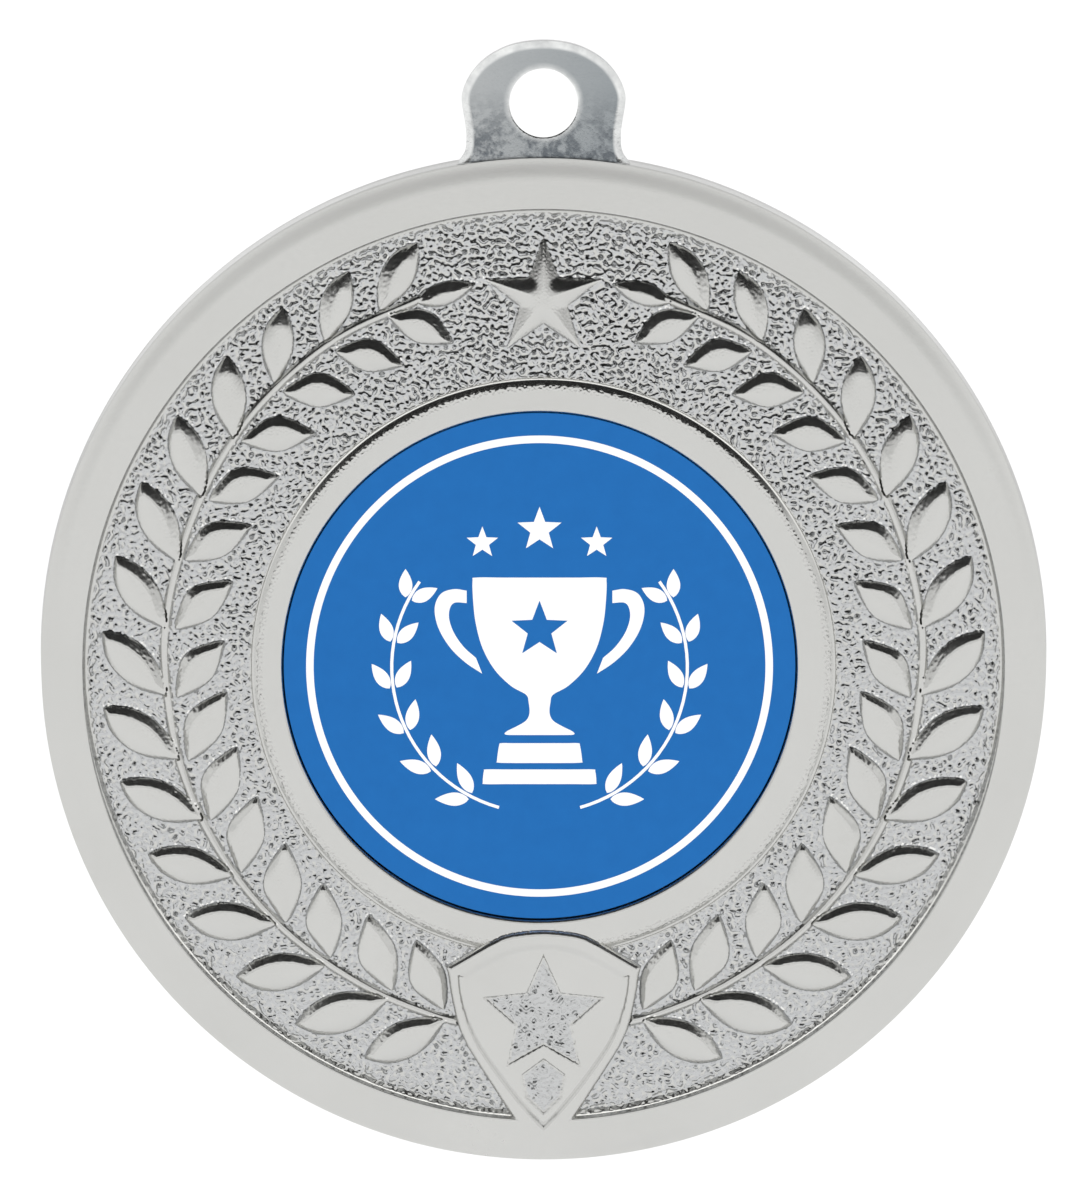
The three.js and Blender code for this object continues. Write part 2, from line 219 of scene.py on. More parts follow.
# ---------------------------------------------------------------------------------------------------------------------
# The face: one height for each point
# ---------------------------------------------------------------------------------------------------------------------
leaves = []
for side in (1, -1):
    leaves += [leaf_outline(l, OUTER_PLUS, OUTER_MINUS, side) for l in OUTER_LEAVES]
    leaves += [leaf_outline(l, INNER_PLUS, INNER_MINUS, side) for l in INNER_LEAVES]
    leaves.append(leaf_outline(END_LEAF, END_SIDE, END_SIDE, side))
stems = [smooth_curve([polar(a, r) * (side, 1) for a, r in STEM], 6) for side in (1, -1)]
star_poly = star_points(STAR)
shield_poly = mirrored(SHIELD_HALF)
panel_poly = mirrored(PANEL_HALF, PANEL_TIP)
sunk_star_poly = star_points(SUNK_STAR)
sunk_pentagon_poly = np.array(SUNK_PENTAGON, float)

rng = np.random.default_rng(7)
PEBBLE_CELL, PEBBLE_N = 0.025, 2048


def pebble_relief():
    """A random relief whose bumps all have about the same width: random values, of which only one band of widths is kept."""
    f = np.fft.fftfreq(PEBBLE_N, PEBBLE_CELL)
    k = np.hypot(f[None, :], f[:, None])
    keep = np.exp(-(np.log(np.maximum(k, 1e-6) * PEBBLE_WIDTH) / 0.33) ** 2 / 2)
    h = np.real(np.fft.ifft2(np.fft.fft2(rng.standard_normal((PEBBLE_N, PEBBLE_N))) * keep))
    slope = (np.roll(h, -1, 1) - np.roll(h, 1, 1)).std() / (2 * PEBBLE_CELL)
    return h * PEBBLE_SLOPE / slope


RELIEF = pebble_relief()


def stipple(x, y):
    u, v = (x + 25.3) / PEBBLE_CELL, (y + 25.3) / PEBBLE_CELL
    iu, iv = np.floor(u).astype(int), np.floor(v).astype(int)
    fu, fv = u - iu, v - iv
    at = lambda a, b: RELIEF[(iv + b) % PEBBLE_N, (iu + a) % PEBBLE_N]
    return (at(0, 0) * (1 - fu) + at(1, 0) * fu) * (1 - fv) + (at(0, 1) * (1 - fu) + at(1, 1) * fu) * fv


def smoothmax(a, b, k):
    h = np.clip(0.5 + 0.5 * (a - b) / k, 0, 1)
    return b + (a - b) * h + k * h * (1 - h)


def smoothmin(a, b, k):
    return -smoothmax(-a, -b, k)


def soft(t):
    t = np.clip(t, 0, 1)
    return t * t * (3 - 2 * t)


def height(x, y):
    """Returns the height of the face at each point, how much of the point is pebbled floor, and how much painted
    highlight its colour gets.
    """
    r = np.hypot(x, y)
    pebble = np.clip((r - 14.47) / 0.06, 0, 1) * np.clip((R_FIELD + 0.1 - r) / 0.1, 0, 1)
    st = stipple(x, y) * (1.05 + 0.28 * soft(y / 16))  # the pebble is a little deeper towards the top
    spots = stipple(x * 1.6 + 9, y * 1.6 - 4) / RELIEF.std()
    skin = 0.07 * stipple(x * 2.3 - 11, y * 2.3 + 6)
    found = []
    edge = np.full_like(r, 9.0)
    lit = np.zeros_like(r)
    for poly in [l[0] for l in leaves] + [star_poly, shield_poly]:
        i = near(x, y, poly, 0.25)
        if not len(i):
            found.append((i, None))
            continue
        d, away = signed(np.stack([x[i], y[i]], 1), poly)
        found.append((i, d))
        edge[i] = np.minimum(edge[i], np.abs(d))
        up = away[:, 1] / np.maximum(np.hypot(away[:, 0], away[:, 1]), 1e-9)
        lit[i] = np.maximum(lit[i], (d < 0) * (d > -0.11) * soft((up - 0.35) / 0.3))
    floor = Z_FIELD + 0.03 + st * pebble * (0.25 + 0.75 * soft((edge - 0.03) / 0.15))
    ring = np.interp(r, [R_RING_TOP - 0.03, R_RING_TOP + 0.03, 14.33, 14.41, R_RING_OUT, 14.47], [Z_RING, Z_RING - 0.015, 1.04, 1.025, 0.96, Z_FIELD])
    ragged = 0.016 * soft((r - 13.8) / 0.2) * soft((14.2 - r) / 0.12) * np.clip(spots, -2, 2)
    z = np.where(r < 14.45, ring + ragged, np.maximum(ring, Z_FIELD))
    z = np.where(r > 14.43, np.maximum(z, floor), z)
    # painted highlight on the upper side of the ring's outer chamfer
    highlight_mask = (r > 14.325) * (r < 14.42) * soft((y / r - 0.25) / 0.5)
    # low down, where the wall looks up, it has a wide foot; elsewhere it is nearly upright
    foot = soft((-y / r) / 0.55)
    begin = R_FIELD - 0.12 * foot + 0.2 * (1 - foot)
    across = (r - begin) / (R_RIM_IN - begin)
    low = np.interp(across, [0, 0.55, 0.68, 0.86, 1], [Z_FIELD - 0.02, 1.2, 1.22, 1.47, HALF]) + 0.7 * st * (across < 0.5)
    rim = foot * low + (1 - foot) * np.interp(across, [0, 0.45, 0.7, 1], [Z_FIELD, 1.4, 1.47, HALF])
    z = np.where(r > begin, np.maximum(np.where(across < 0.28, z, 0), rim), z)
    # painted highlight on the rim's foot low down, where it looks up
    highlight_mask = np.maximum(highlight_mask, (across > 0.52) * (across < 0.7) * soft((-y / r - 0.35) / 0.3))
    # the rim's face falls away a little to its outer edge
    z = np.where(r > 23.95, HALF - 0.083 * soft((r - 23.95) / 0.72), z)
    pebbled = pebble * (z <= floor + 1e-6)
    # painted glints: bright specks in the pebble just outside the upper side of the leaves, star and shield
    highlight_mask = np.maximum(highlight_mask, lit * pebble * (spots > 0.8))

    for (i, d), (poly, facts) in zip(found, leaves):
        if not len(i):
            continue
        j = i[d > 1e-4]
        z[j] = Z_FIELD + 0.03 + LEAF_STEP + leaf_dome(np.stack([x[j], y[j]], 1), facts) + skin[j]
        pebbled[j] = 0
        highlight_mask[j] = 0
    for line in stems:
        i = np.nonzero(np.abs(r - 18.8) < 1.0)[0]
        a, b = line[:-1], line[1:]
        ab = b - a
        for c in range(0, len(i), 20000):
            j = i[c : c + 20000]
            px, py = x[j][:, None], y[j][:, None]
            t = np.clip(((px - a[:, 0]) * ab[:, 0] + (py - a[:, 1]) * ab[:, 1]) / (ab ** 2).sum(1), 0, 1)
            d = np.sqrt(((px - a[:, 0] - t * ab[:, 0]) ** 2 + (py - a[:, 1] - t * ab[:, 1]) ** 2).min(1))
            up = Z_FIELD + 0.06 + STEM_H * (1 - np.minimum(1, d / STEM_HALF) ** 2)
            over = (d < STEM_HALF) & (edge[j] > 0)
            z[j] = np.where(over, np.where(pebbled[j] > 0.01, up, np.maximum(z[j], up)), z[j])
            pebbled[j] = np.where(d < STEM_HALF, 0, pebbled[j])

    i, d = found[-2]
    up = Z_FIELD + 0.05 + STAR_H * (1 - (1 - np.clip(d / STAR_BEVEL, 0, 1)) ** 2.2)
    out = np.hypot(x[i] - STAR[0], y[i] - STAR[1])
    up = smoothmin(up, Z_FIELD + 0.06 + STAR_H - 0.27 * np.maximum(0, out - 1.2), 0.05) + skin[i]
    z[i] = np.where(d > 1e-4, up, z[i])
    pebbled[i] = np.where(d > 1e-4, 0, pebbled[i])
    highlight_mask[i] = np.where(d > 1e-4, 0, highlight_mask[i])

    i, d = found[-1]
    pts = np.stack([x[i], y[i]], 1)
    side = np.interp(d, [0, 0.03, 0.05, 0.17, 0.2, 0.24], [Z_FIELD, 1.27, 1.36, 1.46, 1.49, HALF])
    zi = np.where(d > 0, np.maximum(z[i], side), z[i])
    pe = np.where(d > 0.0, 0, pebbled[i])
    # painted highlight along the top of the shield's border
    highlight_here = np.where(d > 0.0, (d > 0.015) * (d < 0.07) * soft((y[i] + 15.2) / 0.6), highlight_mask[i])
    d, away = signed(pts, panel_poly)
    lean = away[:, 1] / np.maximum(np.hypot(away[:, 0], away[:, 1]), 1e-9)
    width = 0.1 + 0.33 * soft((-lean - 0.4) / 0.4) + 0.1 * soft((lean - 0.1) / 0.3)
    panel = HALF - (HALF - Z_PANEL) * np.interp(d / width, [0, 0.12, 0.88, 1], [0, 0.05, 0.95, 1])
    zi = np.where(d > 0, np.minimum(zi, panel), zi)
    for poly in (sunk_star_poly, sunk_pentagon_poly):
        d, _ = signed(pts, poly)
        sunk = np.maximum(Z_SUNK + 0.8 * st[i] * soft((d - 0.08) / 0.15), Z_PANEL - d * 1.15)
        zi = np.where(d > 0, np.minimum(zi, sunk), zi)
        pe = np.where(d > 0.15, 0.8, pe)
    z[i] = zi
    pebbled[i] = pe
    highlight_mask[i] = highlight_here
    return z, pebbled, np.clip(highlight_mask, 0, 1)


def snap(x, y, reach):
    """Moves each point that is nearly on a feature's outline onto it, so that outlines are crisp."""
    x, y = x.copy(), y.copy()
    for poly in [l[0] for l in leaves] + [star_poly, shield_poly, panel_poly, sunk_star_poly, sunk_pentagon_poly]:
        i = near(x, y, poly, reach)
        if not len(i):
            continue
        d, away = signed(np.stack([x[i], y[i]], 1), poly)
        m = np.abs(d) < reach
        x[i[m]] -= away[m, 0]
        y[i[m]] -= away[m, 1]
    return x, y


# ---------------------------------------------------------------------------------------------------------------------
# Meshes
# ---------------------------------------------------------------------------------------------------------------------
def make_mesh(name, verts, faces_flat, sizes, smooth=True):
    """verts in metres; faces given as flat indices and the number of corners of each."""
    me = bpy.data.meshes.new(name)
    me.vertices.add(len(verts))
    me.vertices.foreach_set("co", np.asarray(verts, np.float32).ravel())
    me.loops.add(len(faces_flat))
    me.loops.foreach_set("vertex_index", np.asarray(faces_flat, np.int32))
    me.polygons.add(len(sizes))
    starts = np.concatenate([[0], np.cumsum(sizes)[:-1]])
    me.polygons.foreach_set("loop_start", starts.astype(np.int32))
    me.update(calc_edges=True)
    me.polygons.foreach_set("use_smooth", np.full(len(sizes), smooth))
    me.validate()
    ob = bpy.data.objects.new(name, me)
    bpy.context.scene.collection.objects.link(ob)
    return ob


def ring_faces(rows, cols):
    """Quads of a grid of rows x cols vertices, closed along the columns."""
    i = np.arange(rows - 1)[:, None] * cols
    j = np.arange(cols)[None, :]
    k = (j + 1) % cols
    return np.stack([i + j, i + k, i + cols + k, i + cols + j], -1).reshape(-1, 4)


def revolve(profile, cols, x0=0.0, y0=0.0):
    """A closed solid of revolution: the profile runs from the axis to the axis, all other points off it."""
    a = np.arange(cols) * 2 * math.pi / cols
    inner = profile[1:-1]
    v = np.array([[(x0 + r * math.sin(t), y0 + r * math.cos(t), z) for t in a] for r, z in inner]).reshape(-1, 3)
    n = len(v)
    v = np.concatenate([v, [(x0, y0, profile[0][1]), (x0, y0, profile[-1][1])]])
    q = ring_faces(len(inner), cols)
    j = np.arange(cols)
    k = (j + 1) % cols
    first = np.stack([np.full(cols, n), k, j], -1)
    last = np.stack([np.full(cols, n + 1), n - cols + j, n - cols + k], -1)
    return v, q, np.concatenate([first, last])


def disc_body():
    cols = 1800
    step = 0.055
    relief = list(np.arange(12.9, 13.8, 0.06)) + list(np.arange(13.8, 14.5, 0.03)) + list(np.arange(14.5, R_FIELD - 0.16, step))
    relief += list(np.arange(R_FIELD - 0.14, R_RIM_IN + 0.04, 0.02)) + list(np.arange(22.9, 23.4, 0.1)) + list(np.arange(23.4, 24.6, 0.1)) + [24.67]
    arc = np.radians(np.linspace(0, 90, 9))
    rows = [(0.0, Z_RECESS), (6.0, Z_RECESS), (12.0, Z_RECESS), (R_RECESS - 0.08, Z_RECESS), (R_RECESS - 0.02, Z_RECESS + 0.02), (R_RECESS, Z_RECESS + 0.06)]
    rows += [(R_RECESS + 0.008, 0.95), (R_RECESS + 0.012, Z_RING - 0.12), (R_RECESS + 0.022, Z_RING - 0.105), (R_RECESS + 0.13, Z_RING - 0.012), (R_RECESS + 0.155, Z_RING)]
    start = len(rows)
    rows += [(r, None) for r in relief]
    stop = len(rows)
    rows += [(R_FRONT - 0.004, HALF - 0.085), (R_FRONT, HALF - 0.0855), (R_FRONT + 0.002, HALF - 0.094), (R_FRONT + 0.045, 1.1)]
    rows += [(R_FRONT + 0.13, 0.2), (R_OUT - 0.03, -0.85), (R_OUT, -1.1)]
    rows += [(R_OUT - BACK_EDGE * (1 - math.cos(a)), -HALF + BACK_EDGE * (1 - math.sin(a))) for a in arc]
    rows += [(24.5, -HALF), (R_BACK + 0.3, -HALF), (R_BACK + 0.22, -HALF), (R_BACK + 0.16, -HALF + 0.03), (R_BACK + 0.05, -HALF + BACK_D - 0.04), (R_BACK - 0.03, -HALF + BACK_D)]
    rows += [(R_BACK - 0.12, -HALF + BACK_D), (15.0, -HALF + BACK_D), (7.0, -HALF + BACK_D), (0.0, -HALF + BACK_D)]
    ang = np.arange(cols) * 2 * math.pi / cols
    inner = rows[1:-1]
    rr = np.array([r for r, _ in inner])[:, None]
    zz = np.array([0.0 if z is None else z for _, z in inner])[:, None] * np.ones(cols)
    # the recess is a little off the middle of the disc, as the printed disc in it is
    shift = np.clip((13.7 - rr) / 0.8, 0, 1) * (np.arange(len(inner)) < stop)[:, None]
    rr = rr + 0 * ang
    xx, yy = rr * np.sin(ang) + RECESS_AT[0] * shift, rr * np.cos(ang) + RECESS_AT[1] * shift
    a, b = start - 1, stop - 1
    x, y = xx[a:b].ravel(), yy[a:b].ravel()
    x, y = snap(x, y, 0.026)
    z, peb, highlight_fac = height(x, y)
    xx[a:b], yy[a:b], zz[a:b] = x.reshape(b - a, cols), y.reshape(b - a, cols), z.reshape(b - a, cols)
    # above the middle the rim is a little wider
    far = np.hypot(xx, yy)
    deep = np.clip((HALF - 0.1 - zz) / 2.2, 0, 1)
    swell = (SWELL_FRONT + (SWELL_BACK - SWELL_FRONT) * deep) * np.clip((far - 23.2) / (R_FRONT - 23.2), 0, 1) * np.maximum(0, np.cos(ang))
    xx, yy = xx * (1 + swell / far), yy * (1 + swell / far)
    pebbled = np.zeros_like(xx)
    pebbled[a:b] = peb.reshape(b - a, cols)
    painted_highlight = np.zeros_like(xx)
    painted_highlight[a:b] = highlight_fac.reshape(b - a, cols)
    v = np.stack([xx, yy, zz], -1).reshape(-1, 3)
    n = len(v)
    v = np.concatenate([v, [(*RECESS_AT, rows[0][1]), (0, 0, rows[-1][1])]])
    q = ring_faces(len(inner), cols)
    j = np.arange(cols)
    k = (j + 1) % cols
    first = np.stack([np.full(cols, n), k, j], -1)
    last = np.stack([np.full(cols, n + 1), n - cols + j, n - cols + k], -1)
    # split each quad along the diagonal with the smaller step in height, so that creases stay clean
    zq = v[:, 2][q]
    swap = np.abs(zq[:, 0] - zq[:, 2]) > np.abs(zq[:, 1] - zq[:, 3])
    t = np.concatenate([
        np.where(swap[:, None], q[:, [0, 1, 3]], q[:, [0, 1, 2]]),
        np.where(swap[:, None], q[:, [1, 2, 3]], q[:, [0, 2, 3]]),
        first, last,
    ])
    return v, t, np.concatenate([pebbled.ravel(), [0, 0]]), np.concatenate([painted_highlight.ravel(), [0, 0]])


def outward(v, faces):
    """Returns the signed volume the faces close: below zero if the solid is inside out."""
    t = faces[:, :3]
    a, b, c = v[t[:, 0]], v[t[:, 1]], v[t[:, 2]]
    vol = np.einsum("ij,ij->i", a, np.cross(b, c)).sum()
    if faces.shape[1] == 4:
        a, b, c = v[faces[:, 0]], v[faces[:, 2]], v[faces[:, 3]]
        vol += np.einsum("ij,ij->i", a, np.cross(b, c)).sum()
    return vol


def fill_between(loops, z):
    """Triangles of the flat region inside loops[0] and outside the others, as indices into the loops' points taken in
    order.
    """
    pts = np.concatenate(loops)
    edges, start = [], 0
    for l in loops:
        n = len(l)
        edges += [(start + i, start + (i + 1) % n) for i in range(n)]
        start += n
    out = delaunay_2d_cdt([Vector(p) for p in pts], edges, [], 0, 1e-7)
    co = np.array([tuple(p) for p in out[0]])
    tri = []
    for f in out[2]:
        if len(f) == 3:
            c = co[list(f)].mean(0)[None]
            if signed(c, loops[0])[0][0] > 0 and all(signed(c, h)[0][0] < 0 for h in loops[1:]):
                tri.append(f)
    assert len(co) == len(pts), "the outline crosses itself"
    # the solver keeps the order of its input points
    order = np.array([o[0] for o in out[3]])
    tri = order[np.array(tri)]
    a, b, c = pts[tri[:, 0]], pts[tri[:, 1]], pts[tri[:, 2]]
    cw = ((b - a)[:, 0] * (c - a)[:, 1] - (b - a)[:, 1] * (c - a)[:, 0]) < 0
    tri[cw] = tri[cw][:, ::-1]
    return tri


def lug_body():
    n = 10
    half = np.array(LUG_HALF_OUTLINE)
    full = np.concatenate([half, (half[1:] * (-1, 1))[::-1]])
    # the top and the sides are smooth; the foot is closed straight across, inside the disc
    top = np.concatenate([half[::-1][1:], (half[1:-1] * (-1, 1))])  # from right foot over the top to left foot
    arc = smooth_curve(top, n)
    foot = [(-4.38, 23.9), (-4.1, 23.4), (-3.4, 23.2), (0, 23.2), (3.4, 23.2), (4.1, 23.4), (4.38, 23.9)]
    outline = np.concatenate([arc, smooth_curve(foot, 4)])
    # even spacing
    seg = np.linalg.norm(np.roll(outline, -1, 0) - outline, axis=1)
    outline = outline[seg > 1e-6]
    seg = np.linalg.norm(np.roll(outline, -1, 0) - outline, axis=1)
    s = np.concatenate([[0], np.cumsum(seg)])
    count = 420
    at = np.linspace(0, s[-1], count, endpoint=False)
    closed = np.concatenate([outline, outline[:1]])
    outline = np.stack([np.interp(at, s, closed[:, 0]), np.interp(at, s, closed[:, 1])], 1)
    for _ in range(3):
        outline = 0.5 * outline + 0.25 * (np.roll(outline, 1, 0) + np.roll(outline, -1, 0))
    area = (outline[:, 0] * np.roll(outline[:, 1], -1) - np.roll(outline[:, 0], -1) * outline[:, 1]).sum()
    if area < 0:
        outline = outline[::-1]
    tangent = np.roll(outline, -1, 0) - np.roll(outline, 1, 0)
    tangent /= np.linalg.norm(tangent, axis=1)[:, None]
    inward = np.stack([-tangent[:, 1], tangent[:, 0]], 1)
    for _ in range(6):
        inward = 0.5 * inward + 0.25 * (np.roll(inward, 1, 0) + np.roll(inward, -1, 0))
    inward /= np.linalg.norm(inward, axis=1)[:, None]
    arcs = np.radians(np.linspace(0, 90, 6))
    back = [(0.12 * (1 - math.cos(t)), -LUG_HALF + 0.12 * (1 - math.sin(t))) for t in arcs] + [(0.3, -LUG_HALF), (LUG_EDGE_W + 0.12, -LUG_HALF)]
    # in front a low flat border runs round the face
    front = [(0.0, LUG_HALF - 0.3), (0.0, LUG_HALF - 0.006), (0.004, LUG_HALF), (0.012, LUG_HALF), (0.15, LUG_HALF), (0.28, LUG_HALF - 0.004), (0.36, LUG_HALF - 0.03), (LUG_EDGE_W, LUG_HALF - 0.045), (LUG_EDGE_W + 0.04, LUG_HALF - 0.047), (LUG_EDGE_W + 0.12, LUG_HALF - 0.047)]
    levels = list(reversed(back)) + front
    hole_cols = 160
    ha = np.arange(hole_cols) * 2 * math.pi / hole_cols
    circle = lambda r: np.stack([r * np.cos(ha), LUG_Y + r * np.sin(ha)], 1)
    ease = np.radians(np.linspace(0, 90, 5))
    hole_front = [(LUG_HOLE_R, LUG_HALF - 0.055), (LUG_HOLE_R + 0.008, LUG_HALF - 0.047), (LUG_HOLE_R + 0.1, LUG_HALF - 0.047), (LUG_HOLE_R + 0.3, LUG_HALF - 0.047)]
    hole_back = [(LUG_HOLE_R + 0.11 + 0.08 * (1 - math.cos(t)), -LUG_HALF + 0.08 * (1 - math.sin(t))) for t in ease] + [(LUG_HOLE_R + 0.3, -LUG_HALF)]
    hole_levels = list(reversed(hole_front)) + hole_back
    v, faces = [], []
    for o, z in levels:
        v += [(p[0], p[1], z) for p in outline + inward * o]
    q = ring_faces(len(levels), count)
    faces.append(np.concatenate([q[:, [0, 1, 2]], q[:, [0, 2, 3]]]))
    base = len(v)
    for r, z in hole_levels:
        v += [(p[0], p[1], z) for p in circle(r)]
    q = ring_faces(len(hole_levels), hole_cols) + base
    faces.append(np.concatenate([q[:, [0, 1, 2]], q[:, [0, 2, 3]]]))
    loop = outline + inward * levels[-1][0]
    tri = fill_between([loop, circle((hole_levels[0][0] + hole_levels[-1][0]) / 2)], LUG_HALF)
    top_at = np.concatenate([np.arange(count) + (len(levels) - 1) * count, np.arange(hole_cols) + base])
    bottom_at = np.concatenate([np.arange(count), np.arange(hole_cols) + base + (len(hole_levels) - 1) * hole_cols])
    faces.append(top_at[tri])
    faces.append(bottom_at[tri][:, ::-1])
    return np.array(v), np.concatenate(faces), outline


def solid(name, v, tri):
    """A triangle mesh object in the row's frame."""
    w = place(v)
    if outward(w, tri) < 0:
        tri = tri[:, ::-1]
    return make_mesh(name, w, tri.ravel(), np.full(len(tri), 3))


v, t, pebbled, painted_highlight = disc_body()
body = solid("medal_body_cast", v, t)
mask = body.data.attributes.new("pebbled", "FLOAT", "POINT")
mask.data.foreach_set("value", pebbled.astype(np.float32))
mask = body.data.attributes.new("painted_highlight", "FLOAT", "POINT")
mask.data.foreach_set("value", painted_highlight.astype(np.float32))
lv, lt, lug_outline = lug_body()
lug = solid("lug_part", lv, lt)


fuse = body.modifiers.new("lug", "BOOLEAN")
fuse.operation, fuse.object = "UNION", lug
for solver in ("MANIFOLD", "EXACT"):
    fuse.solver = solver
    bpy.context.view_layer.update()
    dg = bpy.context.evaluated_depsgraph_get()
    fused = bpy.data.meshes.new_from_object(body.evaluated_get(dg), preserve_all_data_layers=True, depsgraph=dg)
    top = max(c.co.z for c in fused.vertices)
    if len(fused.polygons) > 0.9 * len(body.data.polygons) and top > (30.5 - LUG_Y) * MM:
        break
body.modifiers.clear()
body.data = fused
bpy.data.objects.remove(lug)
# the lug's border and the edge of its hole get painted highlight: their colour is painted near white
co = np.zeros(len(body.data.vertices) * 3, np.float32)
body.data.vertices.foreach_get("co", co)
co = co.reshape(-1, 3) / MM
flat = np.stack([co[:, 0], co[:, 2] + LUG_Y], 1)
value = np.zeros(len(flat), np.float32)
body.data.attributes["painted_highlight"].data.foreach_get("value", value)
on_lug = np.nonzero(np.hypot(flat[:, 0], flat[:, 1]) > R_OUT - 0.15)[0]
on_lug = on_lug[np.abs(co[on_lug, 1]) < LUG_HALF + 0.01]
on_lug = on_lug[(flat[on_lug, 1] > 22) & (np.abs(flat[on_lug, 0]) < 6)]
d, _ = signed(flat[on_lug], lug_outline)
hole = np.hypot(flat[on_lug, 0], flat[on_lug, 1] - LUG_Y) - LUG_HOLE_R
on_lug, hole, d = on_lug[d > -0.01], hole[d > -0.01], d[d > -0.01]
value[on_lug] = np.maximum(np.clip((LUG_EDGE_W - 0.01 - d) / 0.1, 0, 1), np.clip((0.11 - hole) / 0.02, 0, 1))
body.data.attributes["painted_highlight"].data.foreach_set("value", value)
body.data.polygons.foreach_set("use_smooth", np.ones(len(body.data.polygons), bool))
body.data.set_sharp_from_angle(angle=math.radians(52))
body.data.update()

# The printed disc, with a softened edge, and the adhesive under it.
cols = 360
arc = np.radians(np.linspace(0, 90, 5))
profile = [(0, Z_DISC), (R_INSERT - 0.02, Z_DISC), (R_INSERT, Z_DISC + 0.02)]
profile += [(R_INSERT - 0.05 * (1 - math.cos(a)), Z_DISC + DISC_T - 0.05 * (1 - math.sin(a))) for a in arc]
profile += [(R_INSERT - 0.09, Z_DISC + DISC_T), (9.0, Z_DISC + DISC_T), (4.5, Z_DISC + DISC_T), (0, Z_DISC + DISC_T)]
v, q, fan = revolve(profile, cols, INSERT_X, INSERT_Y)
tri = np.concatenate([q[:, [0, 1, 2]], q[:, [0, 2, 3]], fan])
disc = solid("insert_disc_print", v, tri)
disc.data.set_sharp_from_angle(angle=math.radians(40))

v, q, fan = revolve([(0, Z_ADHESIVE), (R_INSERT - 0.42, Z_ADHESIVE), (R_INSERT - 0.4, Z_ADHESIVE + 0.03), (R_INSERT - 0.39, Z_ADHESIVE + 0.07), (R_INSERT - 0.42, Z_ADHESIVE + ADHESIVE_T), (0, Z_ADHESIVE + ADHESIVE_T)], cols, INSERT_X, INSERT_Y)
wave = rng.random(3) * 6
th = np.arctan2(v[:, 0] - INSERT_X, v[:, 1] - INSERT_Y)
shrink = 1 + 0.002 * np.sin(5 * th + wave[0]) + 0.0015 * np.sin(23 * th + wave[1]) + 0.001 * np.sin(61 * th + wave[2])
v[:, 0] = INSERT_X + (v[:, 0] - INSERT_X) * shrink
v[:, 1] = INSERT_Y + (v[:, 1] - INSERT_Y) * shrink
pad = solid("insert_adhesive_pad", v, np.concatenate([q[:, [0, 1, 2]], q[:, [0, 2, 3]], fan]))
pad.data.set_sharp_from_angle(angle=math.radians(40))

# ---------------------------------------------------------------------------------------------------------------------
# The white print: a line near the edge, and a plain cup between two sprigs under three small stars.
# ---------------------------------------------------------------------------------------------------------------------
PRINT_T = 0.012
Z_FACE = Z_DISC + DISC_T


def inked(loops):
    """A thin flat solid of ink: the area inside the first loop and outside the others."""
    loops = [np.asarray(l, float) for l in loops]
    tri = fill_between(loops, 0)
    n = sum(len(l) for l in loops)
    pts = np.concatenate(loops)
    v = np.concatenate([np.c_[pts, np.full(n, Z_FACE - 0.004)], np.c_[pts, np.full(n, Z_FACE + PRINT_T)]])
    faces = [tri[:, ::-1], tri + n]
    start = 0
    for i, l in enumerate(loops):
        area = (l[:, 0] * np.roll(l[:, 1], -1) - np.roll(l[:, 0], -1) * l[:, 1]).sum()
        a = start + np.arange(len(l))
        b = start + (np.arange(len(l)) + 1) % len(l)
        if (area < 0) == (i == 0):
            a, b = b, a
        faces += [np.stack([a, b, b + n], -1), np.stack([a, b + n, a + n], -1)]
        start += len(l)
    return v, np.concatenate(faces)


def circle_loop(r, n=256, x=0.0, y=0.0):
    a = np.arange(n) * 2 * math.pi / n
    return np.stack([x + r * np.cos(a), y + r * np.sin(a)], 1)


def both_sides(half, n=6):
    """A smooth outline from its right half, which starts and ends on the middle line."""
    curve = smooth_curve(half, n)
    return np.concatenate([curve, (curve[1:-1] * (-1, 1))[::-1]])


def sprig_leaf(x, y, angle, length, width):
    t = np.linspace(0, 1, 15)
    w = np.sin(math.pi * t ** 0.8) ** 0.9 * width / 2
    up = np.stack([t * length, w], 1)
    down = np.stack([t * length, -w], 1)[::-1][1:-1]
    p = np.concatenate([up, down])
    c, s = math.cos(math.radians(angle)), math.sin(math.radians(angle))
    return np.stack([x + p[:, 0] * c - p[:, 1] * s, y + p[:, 0] * s + p[:, 1] * c], 1)


def small_star(x, y, r):
    return star_points((x, y, r, 0.42))


inks = [[circle_loop(11.51, 360), circle_loop(11.14, 360)]]
bowl = both_sides([(0, 4.15), (1.6, 4.15), (2.9, 4.15), (3.05, 4.0), (3.02, 3.0), (2.9, 2.0), (2.6, 0.9), (2.05, -0.1), (1.3, -0.85), (0.62, -1.25), (0.5, -1.6), (0.46, -2.1), (0.62, -2.45), (1.05, -2.72), (1.5, -2.95), (1.55, -3.1), (0.9, -3.12), (0, -3.12)])
inks.append([bowl, star_points((0, 1.75, 1.35, 0.42))])
inks.append([both_sides([(0, -3.5), (1.2, -3.5), (1.75, -3.5), (1.85, -3.6), (1.95, -4.3), (1.9, -4.4), (1.2, -4.42), (0, -4.42)])])
inks.append([both_sides([(0, -4.72), (1.5, -4.72), (2.45, -4.72), (2.55, -4.8), (2.6, -5.3), (2.5, -5.4), (1.5, -5.4), (0, -5.4)])])
